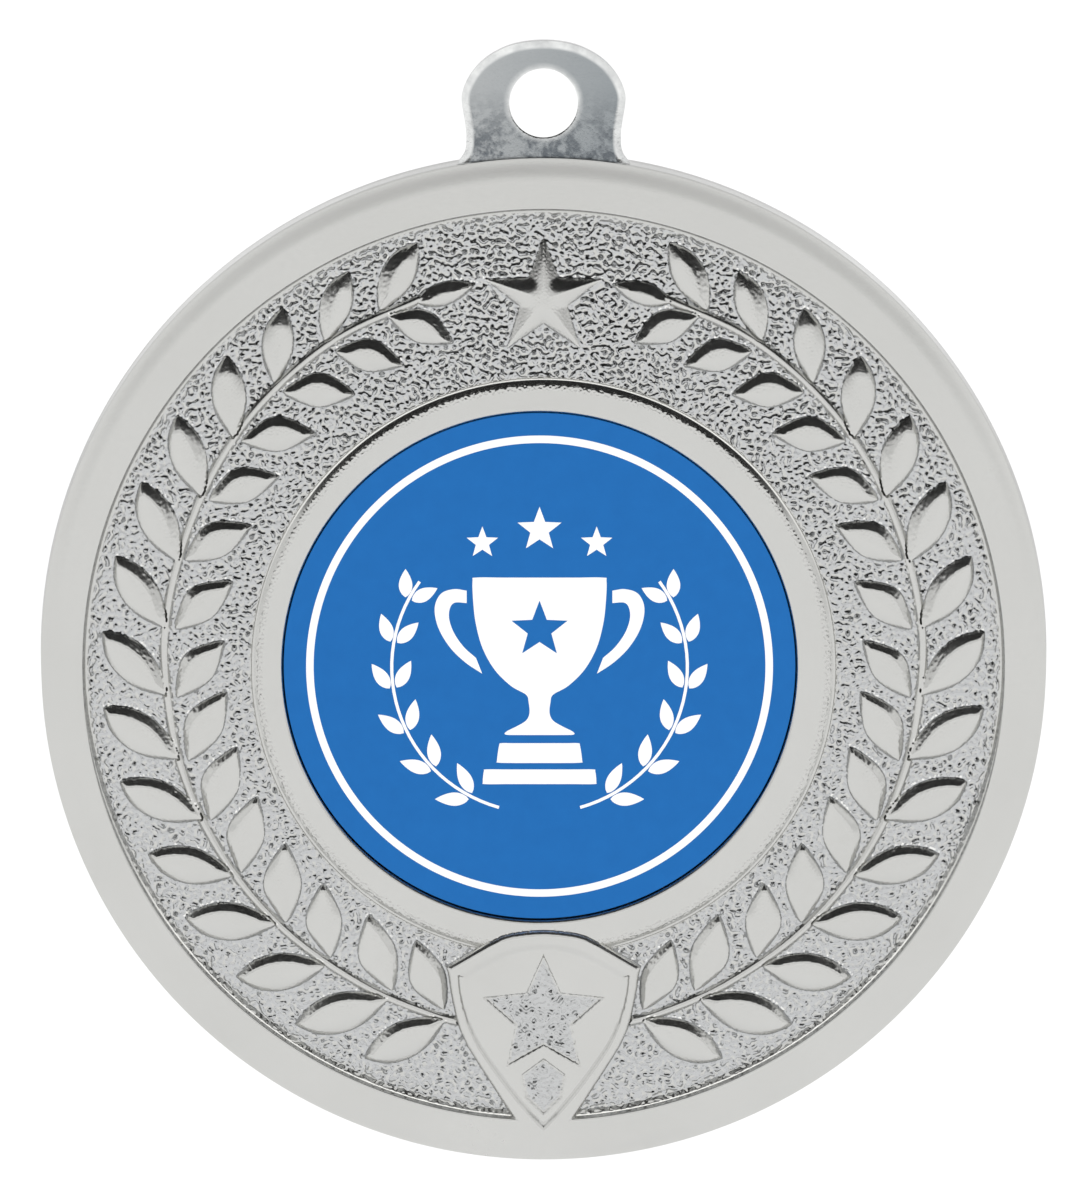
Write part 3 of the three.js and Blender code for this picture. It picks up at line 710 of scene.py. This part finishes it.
for side in (1, -1):
    outer = smooth_curve([(3.32, 3.55), (3.9, 3.62), (4.5, 3.4), (4.78, 2.75), (4.62, 1.85), (4.1, 0.95), (3.4, 0.25), (2.62, -0.28)], 6)
    inner = smooth_curve([(2.9, 0.45), (3.45, 0.95), (3.9, 1.6), (4.12, 2.25), (4.08, 2.75), (3.85, 3.0), (3.32, 2.98)], 6)
    loop = np.concatenate([outer, inner]) * (side, 1)
    inks.append([loop])
    # a sprig of laurel round the cup
    for k, a in enumerate((-62, -44, -26, -8, 10, 28)):
        p = np.array([math.cos(math.radians(a)), math.sin(math.radians(a))]) * 6.75
        for turn, reach in ((28, 0.16), (-36, -0.16)):
            q = p * (1 + reach / 6.75)
            leaf = sprig_leaf(q[0], q[1], a + 90 - turn * 1.0, 1.55 - 0.05 * k, 0.62)
            inks.append([leaf * (side, 1)])
    stalk_out = [(math.cos(math.radians(a)) * 6.82, math.sin(math.radians(a)) * 6.82) for a in np.linspace(-74, 36, 30)]
    stalk_in = [(math.cos(math.radians(a)) * 6.68, math.sin(math.radians(a)) * 6.68) for a in np.linspace(36, -74, 30)]
    inks.append([np.array(stalk_out + stalk_in) * (side, 1)])
for x, y, r in ((0, 6.35, 1.05), (-2.6, 5.75, 0.75), (2.6, 5.75, 0.75)):
    inks.append([small_star(x, y, r)])
iv, it, base = [], [], 0
EMBLEM = 1.08
for k, loops in enumerate(inks):
    v, t = inked([l * (EMBLEM if k else 1) for l in loops])
    v[:, :2] += (INSERT_X, INSERT_Y)
    w = place(v)
    if outward(w, t) < 0:
        t = t[:, ::-1]
    iv.append(v)
    it.append(t + base)
    base += len(v)
ink = make_mesh("insert_white_print", place(np.concatenate(iv)), np.concatenate(it).ravel(), np.full(sum(len(t) for t in it), 3), smooth=False)

# ---------------------------------------------------------------------------------------------------------------------
# Materials
# ---------------------------------------------------------------------------------------------------------------------
def nodes_of(name):
    m = bpy.data.materials.new(name)
    m.use_nodes = True
    nt = m.node_tree
    nt.nodes.clear()
    out = nt.nodes.new("ShaderNodeOutputMaterial")
    bsdf = nt.nodes.new("ShaderNodeBsdfPrincipled")
    nt.links.new(bsdf.outputs["BSDF"], out.inputs["Surface"])
    return m, nt, bsdf


def noise(nt, scale, detail=3.0, rough=0.5, vector=None):
    n = nt.nodes.new("ShaderNodeTexNoise")
    n.inputs["Scale"].default_value = scale
    n.inputs["Detail"].default_value = detail
    n.inputs["Roughness"].default_value = rough
    if vector is not None:
        nt.links.new(vector, n.inputs["Vector"])
    return n.outputs["Fac"]


def span(nt, value, low, high, to_low, to_high, smooth=False):
    n = nt.nodes.new("ShaderNodeMapRange")
    n.clamp = True
    n.interpolation_type = "SMOOTHSTEP" if smooth else "LINEAR"
    nt.links.new(value, n.inputs["Value"])
    for key, x in (("From Min", low), ("From Max", high), ("To Min", to_low), ("To Max", to_high)):
        n.inputs[key].default_value = x
    return n.outputs["Result"]


def calc(nt, op, a, b):
    n = nt.nodes.new("ShaderNodeMath")
    n.operation = op
    for k, x in enumerate((a, b)):
        if isinstance(x, (int, float)):
            n.inputs[k].default_value = x
        else:
            nt.links.new(x, n.inputs[k])
    return n.outputs["Value"]


def mix_colour(nt, fac, a, b):
    n = nt.nodes.new("ShaderNodeMix")
    n.data_type = "RGBA"
    nt.links.new(fac, n.inputs[0])
    for k, c in ((6, a), (7, b)):
        if isinstance(c, tuple):
            n.inputs[k].default_value = (*c, 1)
        else:
            nt.links.new(c, n.inputs[k])
    return n.outputs[2]


def bump(nt, bsdf, fields):
    """fields is [(height socket, distance in metres, strength)]."""
    last = None
    for h, distance, strength in fields:
        b = nt.nodes.new("ShaderNodeBump")
        b.inputs["Distance"].default_value = distance
        if isinstance(strength, (int, float)):
            b.inputs["Strength"].default_value = strength
        else:
            nt.links.new(strength, b.inputs["Strength"])
        nt.links.new(h, b.inputs["Height"])
        if last is not None:
            nt.links.new(last, b.inputs["Normal"])
        last = b.outputs["Normal"]
    nt.links.new(last, bsdf.inputs["Normal"])


def silver():
    m, nt, b = nodes_of("satin_silver")
    tc = nt.nodes.new("ShaderNodeTexCoord")
    obj = tc.outputs["Object"]
    sep = nt.nodes.new("ShaderNodeSeparateXYZ")
    nt.links.new(obj, sep.inputs[0])
    att = nt.nodes.new("ShaderNodeAttribute")
    att.attribute_name = "pebbled"
    peb = att.outputs["Fac"]
    att = nt.nodes.new("ShaderNodeAttribute")
    att.attribute_name = "painted_highlight"
    highlight_fac = att.outputs["Fac"]
    # the lug is above the disc's edge and is polished; its colour is painted darker than the face, a painted reflection
    # of mid-grey surroundings, with painted shade towards its right side, and it is rougher and darker low down
    radius = nt.nodes.new("ShaderNodeVectorMath")
    radius.operation = "DISTANCE"
    radius.inputs[1].default_value = (0, 0, -LUG_Y * MM)
    flat = nt.nodes.new("ShaderNodeVectorMath")
    flat.operation = "MULTIPLY"
    flat.inputs[1].default_value = (1, 0, 1)
    nt.links.new(obj, flat.inputs[0])
    nt.links.new(flat.outputs[0], radius.inputs[0])
    rad = radius.outputs["Value"]
    lug = span(nt, rad, 24.8 * MM, 24.82 * MM, 0, 1)
    for axis, reach in (("X", 4.2), ("Y", LUG_HALF + 0.003)):
        lug = calc(nt, "MULTIPLY", lug, span(nt, calc(nt, "ABSOLUTE", sep.outputs[axis], 0.0), reach * MM, (reach + 0.003) * MM, 1, 0))
    lug = calc(nt, "MULTIPLY", lug, span(nt, sep.outputs["Z"], -8 * MM, -7 * MM, 0, 1))
    cloud = noise(nt, 160, 4, 0.6, obj)  # patches of about 6 mm
    fine = noise(nt, 2600, 3, 0.6, obj)
    grain = noise(nt, 9000, 2, 0.5, obj)
    tone = span(nt, cloud, 0.3, 0.7, 0, 1)
    face = mix_colour(nt, tone, (0.57, 0.57, 0.552), (0.61, 0.61, 0.592))
    face = mix_colour(nt, span(nt, fine, 0.35, 0.75, 0, 1), face, (0.595, 0.595, 0.578))
    face = mix_colour(nt, calc(nt, "MULTIPLY", peb, 0.8), face, (0.52, 0.53, 0.54))
    low = span(nt, sep.outputs["Z"], -2.6 * MM, 1.2 * MM, 1, 0, True)
    across = span(nt, sep.outputs["X"], -4 * MM, 4 * MM, 0, 1)
    # painted shade: the lug's colour is darker towards its right side
    lug_shade_and_blotches = mix_colour(nt, across, (0.43, 0.445, 0.45), (0.3, 0.325, 0.34))
    cast = noise(nt, 3800, 3, 0.65, obj)
    blotch = noise(nt, 900, 3, 0.6, obj)
    dark = calc(nt, "MULTIPLY", low, span(nt, calc(nt, "ADD", calc(nt, "MULTIPLY", blotch, 0.6), calc(nt, "MULTIPLY", cast, 0.4)), 0.44, 0.56, 0.1, 1.0))
    lug_shade_and_blotches = mix_colour(nt, dark, lug_shade_and_blotches, (0.14, 0.155, 0.17))
    face = mix_colour(nt, lug, face, lug_shade_and_blotches)
    # painted highlight: the marked parts are painted near white on the lug and pale grey elsewhere
    face = mix_colour(nt, highlight_fac, face, mix_colour(nt, lug, (0.97, 0.965, 0.93), mix_colour(nt, span(nt, blotch, 0.35, 0.65, 0, 1), (0.6, 0.61, 0.61), (0.85, 0.86, 0.85))))
    # painted highlight: the drafted side's colour and specular tint are painted brighter on the upper part of the disc,
    # where it looks up
    wall = calc(nt, "MULTIPLY", span(nt, sep.outputs["Y"], (-HALF + 0.09) * MM, (-HALF + 0.11) * MM, 0, 1), span(nt, rad, 24.7 * MM, 24.73 * MM, 0, 1))
    wall = calc(nt, "MULTIPLY", wall, calc(nt, "SUBTRACT", 1.0, lug))
    wall = calc(nt, "MULTIPLY", wall, span(nt, sep.outputs["Z"], -18.5 * MM, -8.5 * MM, 0, 1))
    face = mix_colour(nt, wall, face, (0.82, 0.82, 0.805))
    nt.links.new(face, b.inputs["Base Color"])
    b.inputs["Metallic"].default_value = 1.0
    nt.links.new(mix_colour(nt, wall, (0.62, 0.62, 0.62), (0.85, 0.85, 0.85)), b.inputs["Specular Tint"])
    rough = calc(nt, "ADD", span(nt, cloud, 0.3, 0.7, 0.2, 0.26), span(nt, fine, 0.3, 0.7, -0.015, 0.02))
    rough = calc(nt, "SUBTRACT", rough, calc(nt, "MULTIPLY", calc(nt, "MAXIMUM", lug, peb), 0.08))
    nt.links.new(rough, b.inputs["Roughness"])
    low_lug = calc(nt, "MULTIPLY", lug, span(nt, sep.outputs["Z"], -1.9 * MM, 0.6 * MM, 1, 0.12, True))
    bump(nt, b, [
        (grain, 0.000004, 0.35),
        (fine, 0.00001, 0.25),
        (cast, 0.00003, low_lug),
    ])
    return m


def blue_print():
    m, nt, b = nodes_of("blue_print")
    obj = nt.nodes.new("ShaderNodeTexCoord").outputs["Object"]
    mottle = noise(nt, 900, 4, 0.6, obj)
    fine = noise(nt, 12000, 2, 0.5, obj)
    c = mix_colour(nt, span(nt, mottle, 0.3, 0.7, 0, 1), (0.0095, 0.135, 0.425), (0.0110, 0.145, 0.45))
    nt.links.new(c, b.inputs["Base Color"])
    nt.links.new(span(nt, mottle, 0.3, 0.7, 0.42, 0.5), b.inputs["Roughness"])
    b.inputs["Specular IOR Level"].default_value = 0.15
    bump(nt, b, [(fine, 0.000002, 0.4), (mottle, 0.000006, 0.2)])
    return m


def white_ink():
    m, nt, b = nodes_of("white_ink")
    obj = nt.nodes.new("ShaderNodeTexCoord").outputs["Object"]
    mottle = noise(nt, 1500, 4, 0.6, obj)
    fine = noise(nt, 12000, 2, 0.5, obj)
    c = mix_colour(nt, span(nt, mottle, 0.3, 0.7, 0, 1), (0.95, 0.95, 0.95), (0.97, 0.97, 0.97))
    nt.links.new(c, b.inputs["Base Color"])
    nt.links.new(span(nt, mottle, 0.3, 0.7, 0.4, 0.5), b.inputs["Roughness"])
    b.inputs["Specular IOR Level"].default_value = 0.15
    bump(nt, b, [(fine, 0.000002, 0.4)])
    return m


def adhesive():
    m, nt, b = nodes_of("adhesive_pad")
    obj = nt.nodes.new("ShaderNodeTexCoord").outputs["Object"]
    cells = nt.nodes.new("ShaderNodeTexVoronoi")
    cells.inputs["Scale"].default_value = 6000
    nt.links.new(obj, cells.inputs["Vector"])
    mottle = noise(nt, 900, 4, 0.6, obj)
    c = mix_colour(nt, mottle, (0.62, 0.6, 0.53), (0.74, 0.72, 0.66))
    nt.links.new(c, b.inputs["Base Color"])
    nt.links.new(span(nt, mottle, 0.3, 0.7, 0.6, 0.75), b.inputs["Roughness"])
    bump(nt, b, [(cells.outputs["Distance"], 0.00001, 0.6)])
    return m


for ob, mat in ((body, silver()), (disc, blue_print()), (ink, white_ink()), (pad, adhesive())):
    ob.data.materials.clear()
    ob.data.materials.append(mat)
    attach(ob, "root")
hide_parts("medal_body")
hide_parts("insert_disc")
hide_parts("insert_disc")
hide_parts("insert_adhesive")

# ---------------------------------------------------------------------------------------------------------------------
# Floor, light and camera
# ---------------------------------------------------------------------------------------------------------------------
FLOOR_Z = (-R_OUT - LUG_Y - 30) * MM
n = 96
ang = np.arange(n) * 2 * math.pi / n
radii = [0.3, 1.0, 3.0, 8.0]
fv = [(0, 0, FLOOR_Z)] + [(r * math.cos(a), r * math.sin(a), FLOOR_Z) for r in radii for a in ang]
ff, fs = [], []
for j in range(n):
    ff += [0, 1 + j, 1 + (j + 1) % n]
    fs.append(3)
for k in range(len(radii) - 1):
    for j in range(n):
        a, b = 1 + k * n + j, 1 + k * n + (j + 1) % n
        ff += [a, a + n, b + n, b]
        fs.append(4)
floor = make_mesh("floor", fv, ff, fs)
m, nt, b = nodes_of("floor_paper")
obj = nt.nodes.new("ShaderNodeTexCoord").outputs["Object"]
c = mix_colour(nt, noise(nt, 30, 4, 0.6, obj), (0.95, 0.95, 0.95), (0.98, 0.98, 0.98))
nt.links.new(c, b.inputs["Base Color"])
b.inputs["Roughness"].default_value = 0.9
b.inputs["Specular IOR Level"].default_value = 0.1
floor.data.materials.append(m)

scene = bpy.context.scene
scene.view_settings.view_transform = "Standard"
world = bpy.data.worlds.new("studio")
scene.world = world
world.use_nodes = True
nt = world.node_tree
nt.nodes.clear()
out = nt.nodes.new("ShaderNodeOutputWorld")
bg = nt.nodes.new("ShaderNodeBackground")
tc = nt.nodes.new("ShaderNodeTexCoord")
sep = nt.nodes.new("ShaderNodeSeparateXYZ")
ramp = nt.nodes.new("ShaderNodeValToRGB")
nt.links.new(tc.outputs["Generated"], sep.inputs[0])
nt.links.new(span(nt, sep.outputs["Z"], -1, 1, 0, 1), ramp.inputs["Fac"])
# in front, low down, the room is a little darker; behind, it is a little darker higher up
front = calc(nt, "MULTIPLY", span(nt, sep.outputs["Y"], -0.3, -0.1, 1, 0), calc(nt, "MULTIPLY", span(nt, sep.outputs["Z"], 0.0, 0.1, 0, 1), span(nt, sep.outputs["Z"], 0.2, 0.36, 1, 0)))
behind = calc(nt, "MULTIPLY", span(nt, sep.outputs["Y"], 0.1, 0.3, 0, 1), span(nt, sep.outputs["Z"], 0.12, 0.24, 0, 1))
room = calc(nt, "SUBTRACT", 1.0, calc(nt, "ADD", calc(nt, "MULTIPLY", front, 0.2), calc(nt, "MULTIPLY", behind, 0.36)))
shaded = nt.nodes.new("ShaderNodeVectorMath")
shaded.operation = "SCALE"
nt.links.new(ramp.outputs["Color"], shaded.inputs[0])
nt.links.new(room, shaded.inputs["Scale"])
nt.links.new(shaded.outputs[0], bg.inputs["Color"])
nt.links.new(bg.outputs["Background"], out.inputs["Surface"])
el = lambda deg: (math.sin(math.radians(deg)) + 1) / 2
stops = [(el(-90), 1.03), (el(90), 1.03)]
e = ramp.color_ramp.elements
while len(e) > 1:
    e.remove(e[-1])
e[0].position, e[0].color = stops[0][0], (stops[0][1],) * 3 + (1,)
for p, c in stops[1:]:
    e.new(p).color = (c, c, c, 1)

# A black flag over the medal, which only reflections see: it is what makes the faces that look up read black.
FLAG_Z, FLAG_FRONT, FLAG_BACK, FLAG_SIDE = (37 - LUG_Y) * MM, -0.042, -0.0025, 0.07
flag = make_mesh("flag", [(-FLAG_SIDE, FLAG_FRONT, FLAG_Z), (FLAG_SIDE, FLAG_FRONT, FLAG_Z), (FLAG_SIDE, FLAG_BACK, FLAG_Z), (-FLAG_SIDE, FLAG_BACK, FLAG_Z)], [0, 3, 2, 1], [4])
m, nt, b = nodes_of("flag_cloth")
b.inputs["Base Color"].default_value = (0.012, 0.012, 0.012, 1)
b.inputs["Roughness"].default_value = 0.9
b.inputs["Specular IOR Level"].default_value = 0.0
flag.data.materials.append(m)
flag.visible_camera = flag.visible_diffuse = flag.visible_shadow = flag.visible_transmission = False


def lamp(name, kind, energy, location, target, size=0.5, glossy=False, angle=0.5):
    data = bpy.data.lights.new(name, kind)
    data.energy = energy
    if kind == "AREA":
        data.shape, data.size = "SQUARE", size
    if kind == "SUN":
        data.angle = angle
    ob = bpy.data.objects.new(name, data)
    scene.collection.objects.link(ob)
    ob.location = location
    ob.rotation_euler = (Vector(target) - Vector(location)).to_track_quat("-Z", "Y").to_euler()
    ob.visible_glossy = glossy
    return ob


lamp("top_fill", "SUN", 0.6, (0, 0, 2), (0, 0, 0), angle=0.8)
lamp("front_fill", "SUN", 0.25, (0.3, -2, 1.0), (0, 0, 0), angle=1.2)

cam_data = bpy.data.cameras.new("camera")
cam = bpy.data.objects.new("camera", cam_data)
scene.collection.objects.link(cam)
scene.camera = cam
AL, DIST = math.radians(9.0), 271.4 * MM
centre = Vector((0, -HALF * MM, -LUG_Y * MM))
cam.location = centre + Vector((0, -math.cos(AL), math.sin(AL))) * DIST
cam.rotation_euler = (math.radians(90) - AL, 0, 0)
cam_data.sensor_width = 36
cam_data.lens = 36 * 5509 / 1200
cam_data.shift_y = 70.8 / 1200
cam_data.shift_x = 0.4 / 1200
cam_data.clip_start, cam_data.clip_end = 0.01, 50
